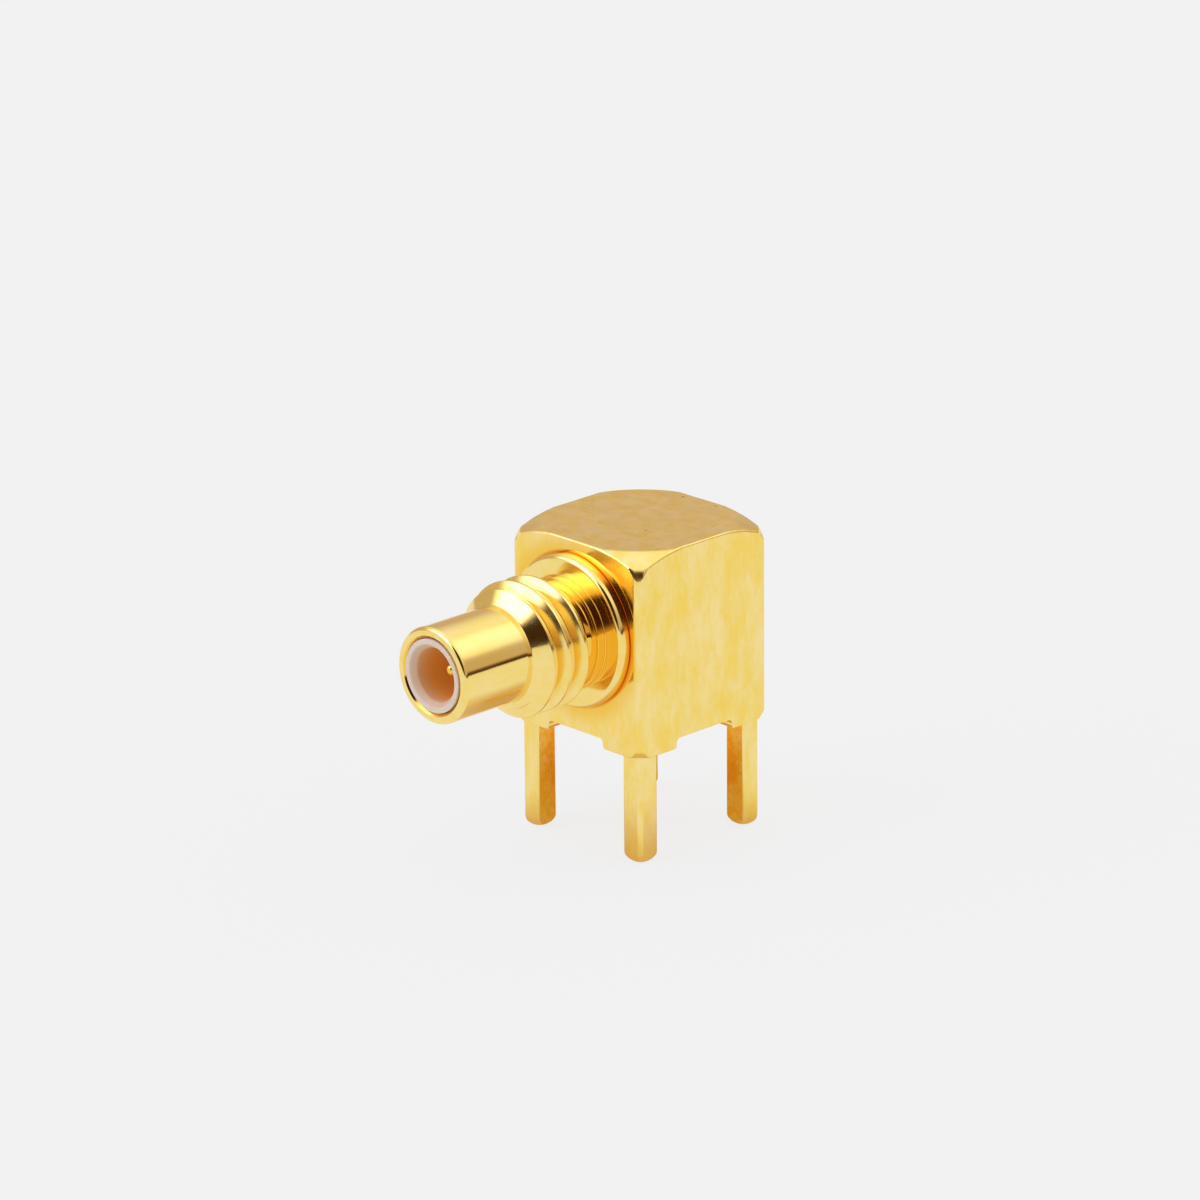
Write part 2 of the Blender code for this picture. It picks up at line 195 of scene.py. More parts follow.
HORIZON_LIGHT = 0.60
ROOF_LIGHT = 1.06
ROOF_RISE = (0.30, 0.85)
# Each lamp: azimuth, elevation, radius of its full part, radius where it ends, light
LAMPS = [
    (-29, 30, 4, 32, 2.00),
    (152, 46, 8, 26, 0.34),
]
OPENING = (24, 20)
OPENING_SPREAD = (24, 32)
OPENING_LIGHT = 0.045
WALL_GAP = (130, 0)
WALL_GAP_SPREAD = (40, 75)
WALL_GAP_HEIGHT = 0.02
WALL_GAP_RISE = (0.03, 0.14)
WALL_GAP_DEPTH = 0.90
WARM_SHADE = (1.0, 0.80, 0.70, 1)
DARK_SHADE = (1.0, 0.42, 0.14, 1)
CLEAN_LIGHT = (1.0, 1.0, 1.0, 1)
LAMP_LIGHT = (0.96, 0.92, 1.30, 1)
TINT_RANGE = (0.55, 1.0)
LAMP_RANGE = (1.1, 2.2)
DARK_EDGE = (18, 29)
FLOOR_GLOW = 0.808
FLOOR_PAINT = 0.08
BACKDROP_LIGHT = FLOOR_GLOW + FLOOR_PAINT

world = bpy.data.worlds.new("light_tent")
world.use_nodes = True
bpy.context.scene.world = world
tent = world.node_tree
tent.nodes.clear()
direction = add_node(tent, "ShaderNodeTexCoord").outputs["Generated"]
height = add_node(tent, "ShaderNodeSeparateXYZ")
feed(tent, direction, height, 0)
height = height.outputs["Z"]


def patch(azimuth, elevation, full, end):
    """1 within the full radius of a direction, falling to 0 at the end radius."""
    facing = add_node(tent, "ShaderNodeVectorMath", operation="DOT_PRODUCT")
    feed(tent, direction, facing, 0)
    facing.inputs[1].default_value = heading(azimuth, elevation)
    return ramp(tent, facing.outputs["Value"], math.cos(math.radians(end)), math.cos(math.radians(full)))


def swap_light(light, share, taken, given):
    """Takes a part of the light away over a share, and gives other light there."""
    kept = maths(tent, "SUBTRACT", 1.0, maths(tent, "MULTIPLY", share, taken))
    return add_shares(tent, maths(tent, "MULTIPLY", light, kept), (share, given))


light = ramp(tent, height, *ROOF_RISE, HORIZON_LIGHT, ROOF_LIGHT)
light = add_shares(tent, light, *((patch(*lamp[:4]), lamp[4]) for lamp in LAMPS))
gap_height = band(tent, height, WALL_GAP_HEIGHT, *WALL_GAP_RISE)
gap = maths(tent, "MULTIPLY", patch(*WALL_GAP, *WALL_GAP_SPREAD), gap_height)
light = swap_light(light, gap, WALL_GAP_DEPTH, 0.0)
opening = patch(*OPENING, *OPENING_SPREAD)
light = swap_light(light, opening, 1.0, OPENING_LIGHT)
tint = blend_colours(tent, ramp(tent, light, *TINT_RANGE), WARM_SHADE, CLEAN_LIGHT)
tint = blend_colours(tent, ramp(tent, light, *LAMP_RANGE), tint, LAMP_LIGHT)
tint = blend_colours(tent, highest(tent, patch(*OPENING, *DARK_EDGE), gap), tint, DARK_SHADE)
seen = add_node(tent, "ShaderNodeLightPath").outputs["Is Camera Ray"]
tint = blend_colours(tent, seen, tint, CLEAN_LIGHT)
light = swap_light(light, seen, 1.0, BACKDROP_LIGHT)
sky = add_node(tent, "ShaderNodeBackground")
feed(tent, tint, sky, "Color")
feed(tent, light, sky, "Strength")
feed(tent, sky.outputs[0], add_node(tent, "ShaderNodeOutputWorld"), "Surface")
print("tent lamps:", len(LAMPS))

# %% [markdown]
# The floor is one wide pale sheet under the legs. It glows a little by itself, as a lit acrylic
# table does, so the picture has hardly any shadow, like the photograph. A real body shades the sheet
# below it, and its legs mirror that shade. The shade is kept out of the direct view, which the
# photograph shows plain, and so it works on the reflections only.

# %% Floor
FLOOR_SIDE = 3.0
SHADE_RADIUS = 2 * MM
SHADE_END = 8 * MM
SHADE_DEPTH = 0.30
SHADE_TINT = (1.0, 0.66, 0.32, 1)
bpy.ops.mesh.primitive_plane_add(size=FLOOR_SIDE, location=(0, 0, CAD_BOX[0][2]))
floor = bpy.context.object
floor.name = "floor"
paper = bpy.data.materials.new("pale_table")
paper.use_nodes = True
table = paper.node_tree.nodes["Principled BSDF"]
table.inputs["Base Color"].default_value = (FLOOR_PAINT, FLOOR_PAINT, FLOOR_PAINT, 1)
table.inputs["Roughness"].default_value = 1.0
table.inputs["Specular IOR Level"].default_value = 0.0
sheet = paper.node_tree
from_centre = add_node(sheet, "ShaderNodeVectorMath", operation="LENGTH")
feed(sheet, add_node(sheet, "ShaderNodeTexCoord").outputs["Object"], from_centre, 0)
# Painted shade: under the body the glow is dimmed, and warmed as painted light bounced from the gold, in
# reflections only.
near = ramp(sheet, from_centre.outputs["Value"], SHADE_RADIUS, SHADE_END, 1.0, 0.0)
unseen = maths(sheet, "SUBTRACT", 1.0, add_node(sheet, "ShaderNodeLightPath").outputs["Is Camera Ray"])
shade = maths(sheet, "MULTIPLY", near, unseen)
lit = maths(sheet, "SUBTRACT", 1.0, maths(sheet, "MULTIPLY", shade, SHADE_DEPTH))
feed(sheet, maths(sheet, "MULTIPLY", lit, FLOOR_GLOW), table, "Emission Strength")
feed(sheet, blend_colours(sheet, shade, (1, 1, 1, 1), SHADE_TINT), table, "Emission Color")
floor.data.materials.append(paper)
floor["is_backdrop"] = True

# %% [markdown]
# The gold on the body. The block was milled, tumbled and plated, so it is satin: cloudy patches of
# paler and deeper yellow, faint streaks up and down the sides, turning rings on the flat top, and a
# few pits. Where gold faces gold it shines into itself, and that light is painted into the colour: a
# painted amber reflection and shade on the legs' inner faces and round the flange, and a painted red
# crease shade where the flange meets the block. One network holds them all. It reads the object's own
# coordinates in millimetres, and the surface's normal tells the top from the sides.

# %% Satin gold
GOLD_PALE = (0.99, 0.79, 0.33, 1)
GOLD_DEEP = (0.98, 0.71, 0.14, 1)
PAINTED_AMBER_REFLECTION = (0.96, 0.54, 0.04, 1)
PAINTED_CREASE_RED = (0.75, 0.22, 0.02, 1)
PIT_BROWN = (0.42, 0.20, 0.04, 1)
PIT_SCALE = 0.55
PIT_EDGE = (0.025, 0.045)
FLANGE_REFLECTION_WIDTH = 0.90
CREASE_SHADE_WIDTH = 0.13


def object_coordinates(tree, scale=(1, 1, 1)):
    """Object coordinates in millimetres, stretched by a scale."""
    place = add_node(tree, "ShaderNodeTexCoord")
    mapping = add_node(tree, "ShaderNodeMapping")
    feed(tree, place.outputs["Object"], mapping, "Vector")
    mapping.inputs["Scale"].default_value = [factor / MM for factor in scale]
    return mapping.outputs["Vector"]


def noise(tree, vector, scale, detail=3.0, roughness=0.5):
    made = add_node(tree, "ShaderNodeTexNoise")
    feed(tree, vector, made, "Vector")
    made.inputs["Scale"].default_value = scale
    made.inputs["Detail"].default_value = detail
    made.inputs["Roughness"].default_value = roughness
    return made.outputs[0]


def bump(tree, height, strength, distance, normal=None):
    made = add_node(tree, "ShaderNodeBump")
    feed(tree, height, made, "Height")
    made.inputs["Strength"].default_value = strength
    made.inputs["Distance"].default_value = distance
    if normal:
        feed(tree, normal, made, "Normal")
    return made.outputs["Normal"]


def radius_from(tree, axis):
    """Distance in millimetres from the vertical axis, or from the barrel's axis."""
    flat = (1, 1, 0) if axis == "Z" else (1, 0, 1)
    centre = (0, 0, 0) if axis == "Z" else (0, 0, -BARREL_HEIGHT / MM)
    shifted = add_node(tree, "ShaderNodeVectorMath", operation="ADD")
    feed(tree, object_coordinates(tree), shifted, 0)
    shifted.inputs[1].default_value = centre
    kept = add_node(tree, "ShaderNodeVectorMath", operation="MULTIPLY")
    feed(tree, shifted.outputs[0], kept, 0)
    kept.inputs[1].default_value = flat
    length = add_node(tree, "ShaderNodeVectorMath", operation="LENGTH")
    feed(tree, kept.outputs[0], length, 0)
    return length.outputs["Value"]


def lines(tree, position, per_mm):
    """Fine uneven lines at right angles to a position given in millimetres."""
    along = add_node(tree, "ShaderNodeCombineXYZ")
    feed(tree, position, along, 0)
    return noise(tree, along.outputs[0], per_mm, detail=2.0)


def gold_material(name):
    material = bpy.data.materials.new(name)
    material.use_nodes = True
    shader = material.node_tree.nodes["Principled BSDF"]
    shader.inputs["Metallic"].default_value = 1.0
    return material, material.node_tree, shader


BARREL_HEIGHT = (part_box("barrel")[0].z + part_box("barrel")[1].z) / 2
BODY_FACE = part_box("body")[0].y
FLANGE_RADIUS = (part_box("barrel")[1].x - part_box("barrel")[0].x) / 2


def shelter(tree, normal):
    """1 on the legs' inner faces, which other gold shades and colours."""
    flat = add_node(tree, "ShaderNodeVectorMath", operation="MULTIPLY")
    feed(tree, object_coordinates(tree), flat, 0)
    flat.inputs[1].default_value = (1, 1, 0)
    inward = add_node(tree, "ShaderNodeVectorMath", operation="DOT_PRODUCT")
    feed(tree, flat.outputs[0], inward, 0)
    feed(tree, normal, inward, 1)
    height = add_node(tree, "ShaderNodeSeparateXYZ")
    feed(tree, object_coordinates(tree), height, 0)
    below = ramp(tree, height.outputs["Z"], -0.1, 0.4, 1.0, 0.0)
    return maths(tree, "MULTIPLY", below, ramp(tree, inward.outputs["Value"], -1.4, -0.2, 1.0, 0.0))


def round_flange(tree, normal_y, width, most, least=0.0):
    """A share on the front face that falls off from the flange's edge over a width in millimetres."""
    front = ramp(tree, normal_y, -0.95, -0.80, 1.0, 0.0)
    edge = FLANGE_RADIUS / MM
    fading = ramp(tree, radius_from(tree, "Y"), edge, edge + width, most, least)
    return maths(tree, "MULTIPLY", front, fading)


satin, tree, shader = gold_material("satin_gold")
facing = add_node(tree, "ShaderNodeNewGeometry")
upright = add_node(tree, "ShaderNodeSeparateXYZ")
feed(tree, facing.outputs["Normal"], upright, 0)
top = ramp(tree, upright.outputs["Z"], 0.90, 0.97)
across = maths(tree, "MULTIPLY", upright.outputs["X"], upright.outputs["Y"])
leaning = band(tree, upright.outputs["Z"], 0.45, 0.30, 0.40)
edges = maths(tree, "MULTIPLY", leaning, band(tree, across, 0.0, 0.15, 0.28))
clouds = ramp(tree, noise(tree, object_coordinates(tree, (1.5, 1.5, 0.6)), 0.9, 6.0, 0.72), 0.34, 0.66)
streaks = noise(tree, object_coordinates(tree, (2.4, 2.4, 0.7)), 1.0, 2.0, 0.5)
rings = lines(tree, radius_from(tree, "Z"), 14.0)
pits = add_node(tree, "ShaderNodeTexVoronoi")
feed(tree, object_coordinates(tree), pits, "Vector")
pits.inputs["Scale"].default_value = PIT_SCALE
pit = ramp(tree, pits.outputs["Distance"], *PIT_EDGE, 1.0, 0.0)
gold = blend_colours(tree, clouds, GOLD_DEEP, GOLD_PALE)
gold = blend_colours(tree, ramp(tree, streaks, 0.55, 0.80, 0.0, 0.3), gold, GOLD_DEEP)
# Painted shade and reflection: the legs' inner faces turn amber, broken up by a speckle.
sheltered = shelter(tree, facing.outputs["Normal"])
speckle = ramp(tree, noise(tree, object_coordinates(tree), 5.0, 3.0, 0.6), 0.38, 0.60, 0.45, 1.0)
gold = blend_colours(tree, maths(tree, "MULTIPLY", sheltered, speckle), gold, PAINTED_AMBER_REFLECTION)
# Painted reflection: amber fading out from the flange; the same share also smooths the satin there.
near_flange = round_flange(tree, upright.outputs["Y"], FLANGE_REFLECTION_WIDTH, 0.75, 0.04)
gold = blend_colours(tree, near_flange, gold, PAINTED_AMBER_REFLECTION)
# Painted crease shade: red in a thin ring where the flange meets the block.
gold = blend_colours(tree, round_flange(tree, upright.outputs["Y"], CREASE_SHADE_WIDTH, 0.8), gold, PAINTED_CREASE_RED)
gold = blend_colours(tree, maths(tree, "MULTIPLY", pit, 0.75), gold, PIT_BROWN)
feed(tree, gold, shader, "Base Color")
side_roughness = ramp(tree, streaks, 0.3, 0.7, 0.13, 0.20)
rough = add_shares(tree, side_roughness, (top, 0.08), (edges, 0.18), (near_flange, -0.15))
feed(tree, rough, shader, "Roughness")
grain = bump(tree, maths(tree, "MULTIPLY", rings, top), 0.10, 0.003 * MM)
grain = bump(tree, streaks, 0.13, 0.010 * MM, grain)
grain = bump(tree, noise(tree, object_coordinates(tree), 8.0, 2.0), 0.15, 0.003 * MM, grain)
grain = bump(tree, maths(tree, "MULTIPLY", pit, -1.0), 0.5, 0.02 * MM, grain)
feed(tree, grain, shader, "Normal")
print("satin gold nodes:", len(tree.nodes))

# %% [markdown]
# The gold on the barrel and the contact. They are turned and plated bright, so their roughness is
# low and the light tent shows in them, with fine tool lines round the axis. In the neck, the thread's
# grooves, the bore and against the block, gold faces gold again, and amber is painted there as painted
# reflection and shade. These places are given in millimetres, forward of the body's face or out from
# the barrel's axis.

# %% Bright gold
NECK_MIDDLE = 0.95
NECK_REACH = (0.45, 0.75)
NECK_SURFACE = (2.03, 2.12)
THREAD_MIDDLE = 2.40
THREAD_REACH = (0.75, 0.95)
GROOVE_DEPTH = (2.05, 2.28)
FACE_REACH = (0.12, 0.26)
BORE_SURFACE = (1.40, 1.45)

bright, tree, shader = gold_material("bright_gold")
smears = noise(tree, object_coordinates(tree, (2.2, 0.5, 2.2)), 1.0, 3.0, 0.6)
along_axis = add_node(tree, "ShaderNodeSeparateXYZ")
feed(tree, object_coordinates(tree), along_axis, 0)
tool_lines = lines(tree, along_axis.outputs["Y"], 16.0)
forward = maths(tree, "SUBTRACT", BODY_FACE / MM, along_axis.outputs["Y"])
from_axis = radius_from(tree, "Y")
in_neck = band(tree, forward, NECK_MIDDLE, *NECK_REACH, 0.75)
in_neck = maths(tree, "MULTIPLY", in_neck, ramp(tree, from_axis, *NECK_SURFACE, 1.0, 0.0))
at_face = ramp(tree, forward, *FACE_REACH, 0.75, 0.0)
in_bore = ramp(tree, from_axis, *BORE_SURFACE, 0.75, 0.0)
threaded = band(tree, forward, THREAD_MIDDLE, *THREAD_REACH)
in_groove = maths(tree, "MULTIPLY", threaded, ramp(tree, from_axis, *GROOVE_DEPTH, 0.40, 0.0))
# Painted reflection and shade: amber in the neck, next to the block's face, in the bore and at the grooves'
# roots.
deeper = highest(tree, in_neck, at_face, in_bore, in_groove)
gold = blend_colours(tree, ramp(tree, smears, 0.35, 0.65, 0.35, 0.75), GOLD_DEEP, GOLD_PALE)
feed(tree, blend_colours(tree, deeper, gold, PAINTED_AMBER_REFLECTION), shader, "Base Color")
polish = add_shares(tree, ramp(tree, smears, 0.3, 0.7, 0.08, 0.13), (threaded, 0.08), (in_neck, -0.08))
feed(tree, polish, shader, "Roughness")
grain = bump(tree, tool_lines, 0.10, 0.002 * MM)
grain = bump(tree, noise(tree, object_coordinates(tree), 9.0, 2.0), 0.10, 0.003 * MM, grain)
feed(tree, grain, shader, "Normal")

# %% [markdown]
# The white insulators are fluoroplastic: waxy, a little translucent, and turned. Deep in the bore the
# plastic glows orange-brown, because the gold tube behind it shines through. That could be left to
# subsurface scattering alone, which is noisy in so narrow a hole, so it is painted along the bore as
# well: the colour deepens to an orange painted shade and the plastic gets a faint painted glow.

# %% Waxy plastic
WAX_WHITE = (0.74, 0.65, 0.51, 1)
WAX_CREAM = (0.70, 0.59, 0.44, 1)
BORE_SHADE_ORANGE = (0.62, 0.29, 0.06, 1)
WAX_GLOW = (1.0, 0.38, 0.05, 1)
BARREL_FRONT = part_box("barrel")[0].y
GLOW_STARTS = -0.35
GLOW_FULL = 1.0
GLOW_LIGHT = 0.15
GLOW_SURFACE = (1.02, 1.22)

wax = bpy.data.materials.new("waxy_plastic")
wax.use_nodes = True
tree = wax.node_tree
shader = tree.nodes["Principled BSDF"]
along_bore = add_node(tree, "ShaderNodeSeparateXYZ")
feed(tree, object_coordinates(tree), along_bore, 0)
depth = maths(tree, "SUBTRACT", along_bore.outputs["Y"], BARREL_FRONT / MM)
inner = ramp(tree, radius_from(tree, "Y"), *GLOW_SURFACE, 1.0, 0.0)
# Painted light and shade along the bore: a deeper orange colour and a faint emission.
glow = maths(tree, "MULTIPLY", ramp(tree, depth, GLOW_STARTS, GLOW_FULL), inner)
mottle = noise(tree, object_coordinates(tree), 3.0, 2.0)
white = blend_colours(tree, ramp(tree, mottle, 0.3, 0.7, 0.0, 0.25), WAX_WHITE, WAX_CREAM)
feed(tree, blend_colours(tree, glow, white, BORE_SHADE_ORANGE), shader, "Base Color")
shader.inputs["Emission Color"].default_value = WAX_GLOW
feed(tree, maths(tree, "MULTIPLY", glow, GLOW_LIGHT), shader, "Emission Strength")
feed(tree, ramp(tree, mottle, 0.3, 0.7, 0.38, 0.50), shader, "Roughness")
shader.inputs["Subsurface Weight"].default_value = 0.35
shader.inputs["Subsurface Radius"].default_value = (1.0, 0.6, 0.45)
shader.inputs["Subsurface Scale"].default_value = 0.25 * MM
feed(tree, bump(tree, lines(tree, radius_from(tree, "Y"), 12.0), 0.10, 0.004 * MM), shader, "Normal")

# %% [markdown]
# Modelling helpers. Turned pieces are drawn as half a section, point by point, and spun about their
# axis, as a lathe makes them. Each corner of a section can carry a small round. Operators act on all
# that is selected, so every helper starts with nothing selected. A finished piece is shaded smooth
# over its rounds, while its flats keep their own slope, because gold mirrors any fault in it.

# %% Modelling helpers
MERGE = 1e-7
ROUND_STEPS = 5
SMOOTH_BELOW = math.radians(24)
FLAT_WEIGHT = 90
ENLARGED = 1000


def start():
    if bpy.context.object and bpy.context.object.mode != "OBJECT":
        bpy.ops.object.mode_set(mode="OBJECT")
    bpy.ops.object.select_all(action="DESELECT")


def rounded(corners):
    """Points of an outline given as (x, y, round): each corner with a round becomes an arc."""
    points = []
    count = len(corners)
    for i, (x, y, radius) in enumerate(corners):
        here = Vector((x, y))
        before = Vector(corners[i - 1][:2]) - here
        after = Vector(corners[(i + 1) % count][:2]) - here
        if not radius:
            points.append(here)
            continue
        opening_angle = before.angle(after)
        room_before = max(0.48 * before.length, 0.98 * before.length - corners[i - 1][2])
        room_after = max(0.48 * after.length, 0.98 * after.length - corners[(i + 1) % count][2])
        reach = min(radius / math.tan(opening_angle / 2), room_before, room_after)
        radius = reach * math.tan(opening_angle / 2)
        middle = here + (before.normalized() + after.normalized()).normalized() * (
            radius / math.sin(opening_angle / 2))
        first = here + before.normalized() * reach - middle
        last = here + after.normalized() * reach - middle
        sweep = first.angle_signed(last)
        for step in range(ROUND_STEPS + 1):
            turn = -sweep * step / ROUND_STEPS
            spoke = Vector((
                first.x * math.cos(turn) - first.y * math.sin(turn),
                first.x * math.sin(turn) + first.y * math.cos(turn),
            ))
            points.append(middle + spoke)
    return points


def draw_outline(name, points, closed=True):
    """A line through 3-D points, made by extruding one vertex from each to the next."""
    start()
    bpy.ops.mesh.primitive_plane_add(size=MM)
    drawn = bpy.context.object
    drawn.name = name
    bpy.ops.object.mode_set(mode="EDIT")
    bpy.ops.mesh.select_mode(type="VERT")
    bpy.ops.mesh.select_all(action="SELECT")
    bpy.ops.mesh.merge(type="CENTER")
    bpy.ops.transform.translate(value=points[0])
    for here, there in zip(points, points[1:] + (points[:1] if closed else [])):
        bpy.ops.mesh.extrude_vertices_move(TRANSFORM_OT_translate={"value": there - here})
    bpy.ops.mesh.select_all(action="SELECT")
    bpy.ops.mesh.remove_doubles(threshold=MERGE)
    return drawn


def close_mesh(piece):
    """Merges doubles, turns the faces outward and goes back to object mode."""
    bpy.ops.object.mode_set(mode="EDIT")
    bpy.ops.mesh.select_all(action="SELECT")
    bpy.ops.mesh.remove_doubles(threshold=MERGE)
    bpy.ops.mesh.normals_make_consistent(inside=False)
    bpy.ops.object.mode_set(mode="OBJECT")
    return piece


def turn_on_barrel(name, corners, steps=192):
    """Turns a half section of (radius, forward of the body's face, round) about the barrel's axis.

    A section that starts on the axis also ends there and is left open, as the axis has no surface.
    """
    points = [Vector((x, BODY_FACE - y, BARREL_HEIGHT)) for x, y in rounded(corners)]
    piece = draw_outline(name, points, closed=corners[0][0] > 0)
    bpy.ops.mesh.spin(
        steps=steps, angle=math.tau, use_auto_merge=True, center=(0, 0, BARREL_HEIGHT), axis=(0, 1, 0))
    return close_mesh(piece)


def turn_upright(name, corners, steps=192):
    """Turns a half section of (radius, height, round) about the vertical axis."""
    points = [Vector((x, 0, z)) for x, z in rounded(corners)]
    piece = draw_outline(name, points, closed=corners[0][0] > 0)
    bpy.ops.mesh.spin(steps=steps, angle=math.tau, use_auto_merge=True, center=(0, 0, 0), axis=(0, 0, 1))
    return close_mesh(piece)


def cut(piece, tool, operation="DIFFERENCE"):
    """Applies a Boolean with a tool, which is then removed."""
    start()
    bpy.context.view_layer.objects.active = piece
    piece.select_set(True)
    step = piece.modifiers.new("cut", "BOOLEAN")
    step.operation = operation
    step.object = tool
    bpy.ops.object.modifier_apply(modifier=step.name)
    bpy.data.objects.remove(tool)


def weigh_normals(piece):
    """Lets large faces keep their own normal, so that flats mirror as flats beside their rounds.

    The modifier passes over faces under a square millimetre, so the piece is enlarged for it.
    """
    piece.scale = (ENLARGED, ENLARGED, ENLARGED)
    bpy.ops.object.transform_apply(location=True, rotation=True, scale=True)
    weigh = piece.modifiers.new("face_weights", "WEIGHTED_NORMAL")
    weigh.keep_sharp = True
    weigh.weight = FLAT_WEIGHT
    bpy.ops.object.modifier_apply(modifier=weigh.name)
    piece.scale = (1 / ENLARGED, 1 / ENLARGED, 1 / ENLARGED)
    bpy.ops.object.transform_apply(location=True, rotation=True, scale=True)


def settle(piece, material, nodes):
    """Shades and paints a finished piece, hangs it under the root and hides the CAD nodes it stands for."""
    start()
    bpy.context.view_layer.objects.active = piece
    piece.select_set(True)
    bpy.ops.object.transform_apply(location=True, rotation=True, scale=True)
    piece.data.materials.clear()
    piece.data.materials.append(material)
    bpy.ops.object.shade_smooth_by_angle(angle=SMOOTH_BELOW)
    weigh_normals(piece)
    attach(piece, "root")
    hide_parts(*nodes)
    print(piece.name, len(piece.data.polygons), "faces")


# %% [markdown]
# The barrel is one turned piece: a spigot that is pressed into the body, a flange, a smooth neck, an
# undercut, the thread's blank, a shoulder and a plain tube. The thread itself is cut afterwards, so
# the blank is turned first, with its section taken from the frame's outer sizes.

# %% Barrel blank
TUBE_FRONT = BODY_FACE - BARREL_FRONT
FLANGE_THICKNESS = 0.445 * MM
NECK_RADIUS = 2.02 * MM
NECK_END = FLANGE_THICKNESS + 0.34 * MM
NECK_STEP = NECK_END + 0.02 * MM
UNDERCUT_RADIUS = 1.95 * MM
THREAD_RADIUS = 2.38 * MM
THREAD_START = NECK_END + 0.80 * MM
THREAD_END = THREAD_START + 1.66 * MM
SHOULDER_END = THREAD_END + 0.38 * MM
TUBE_RADIUS = 1.72 * MM
BORE_RADIUS = 1.33 * MM
SPIGOT_RADIUS = 1.90 * MM
SPIGOT_LENGTH = 1.05 * MM
SPIGOT_CHAMFER = 0.10 * MM
SEAT_GAP = 0.01 * MM
FINE_ROUND = 0.03 * MM
FLANGE_ROUND = 0.20 * MM
UNDERCUT_ROUND = 0.20 * MM
THREAD_END_ROUND = 0.08 * MM
TUBE_FILLET = 0.06 * MM
RIM_ROUND = 0.15 * MM
RIM_INNER_CHAMFER = 0.10 * MM
RIM_INNER_ROUND = 0.02 * MM
FLANK = math.radians(30)
THREAD_BACK_SLOPE = (THREAD_RADIUS - UNDERCUT_RADIUS) * math.tan(FLANK)

barrel = turn_on_barrel("turned_barrel", [
    (SPIGOT_RADIUS - SPIGOT_CHAMFER, -SPIGOT_LENGTH, 0),
    (SPIGOT_RADIUS, SPIGOT_CHAMFER - SPIGOT_LENGTH, 0),
    (SPIGOT_RADIUS, SEAT_GAP, 0),
    (FLANGE_RADIUS, SEAT_GAP, FINE_ROUND),
    (FLANGE_RADIUS, FLANGE_THICKNESS, FLANGE_ROUND),
    (NECK_RADIUS, FLANGE_THICKNESS, FINE_ROUND),
    (NECK_RADIUS, NECK_STEP, FINE_ROUND),
    (UNDERCUT_RADIUS, NECK_STEP, 0),
    (UNDERCUT_RADIUS, THREAD_START - THREAD_BACK_SLOPE, UNDERCUT_ROUND),
    (THREAD_RADIUS, THREAD_START, FINE_ROUND),
    (THREAD_RADIUS, THREAD_END, THREAD_END_ROUND),
    (TUBE_RADIUS, SHOULDER_END, TUBE_FILLET),
    (TUBE_RADIUS, TUBE_FRONT, RIM_ROUND),
    (BORE_RADIUS + RIM_INNER_CHAMFER, TUBE_FRONT, RIM_INNER_ROUND),
    (BORE_RADIUS, TUBE_FRONT - RIM_INNER_CHAMFER, RIM_INNER_ROUND),
    (BORE_RADIUS, -SPIGOT_LENGTH, 0),
])
print("blank", len(barrel.data.polygons), "faces")

# %% [markdown]
# The thread is what takes the most skill on the real part: a pointed tool follows the turning blank
# and leaves a V groove, one pitch further on at each turn. It could be faked with rings or a bump,
# but rings don't climb. Here the tool's section, nose round and crest rounds included, is wound up
# with a Screw modifier and cut from the blank.

# %% Thread
THREAD_PITCH = 25.4 / 32 * MM
THREAD_DEPTH = 0.41 * MM
THREAD_CREST = 0.10 * MM
CREST_ROUND = 0.06 * MM
NOSE_ROUND = 0.12 * MM
TOOL_GAP = 0.012 * MM
TOOL_LIFT = 0.006 * MM
TOOL_STANDS_OUT = 0.05 * MM
THREAD_TURNS = 4
THREAD_PHASE = math.radians(210)
THREAD_FACETS = 192

half_top = (THREAD_PITCH - THREAD_CREST) / 2
half_nose = half_top - THREAD_DEPTH * math.tan(FLANK)
crest_gap = THREAD_PITCH / 2 - TOOL_GAP
lifted = THREAD_RADIUS + TOOL_LIFT
outside = THREAD_RADIUS + TOOL_STANDS_OUT
root = THREAD_RADIUS - THREAD_DEPTH
first_groove = NECK_END + half_nose + 0.06 * MM
section = rounded([
    (root, -half_nose, NOSE_ROUND),
    (root, half_nose, NOSE_ROUND),
    (THREAD_RADIUS, half_top, CREST_ROUND),
    (lifted, crest_gap, 0),
    (outside, crest_gap, 0),
    (outside, -crest_gap, 0),
    (lifted, -crest_gap, 0),
    (THREAD_RADIUS, -half_top, CREST_ROUND),
])
tool = draw_outline("thread_tool", [Vector((radius, along, 0)) for radius, along in section])
bpy.ops.object.mode_set(mode="OBJECT")
tool.rotation_euler = (0, -THREAD_PHASE, 0)
bpy.ops.object.transform_apply(location=False, rotation=True, scale=False)
tool.location = (0, BODY_FACE - first_groove, BARREL_HEIGHT)
winding = tool.modifiers.new("winding", "SCREW")
winding.axis = "Y"
winding.angle = -math.tau
winding.screw_offset = -THREAD_PITCH
winding.iterations = THREAD_TURNS
winding.steps = THREAD_FACETS
winding.render_steps = THREAD_FACETS
bpy.ops.object.modifier_apply(modifier=winding.name)
bpy.ops.object.mode_set(mode="EDIT")
bpy.ops.mesh.select_all(action="DESELECT")
bpy.ops.mesh.select_mode(type="EDGE")
bpy.ops.mesh.select_non_manifold()
bpy.ops.mesh.fill_holes(sides=0)
bpy.ops.mesh.select_mode(type="VERT")
close_mesh(tool)
print("thread tool", len(tool.data.polygons), "faces")
cut(barrel, tool)
settle(barrel, bright, ["barrel"])

# %% [markdown]
# The insulators, the contact and the tail pin are turned as well. The front sleeve lines the tube and
# ends flush with its rim, with a lead-in for the plug. Its solid floor carries the pin. The bush behind
# it shows from nowhere, so its solid stays as it is and only gets the plastic's look.

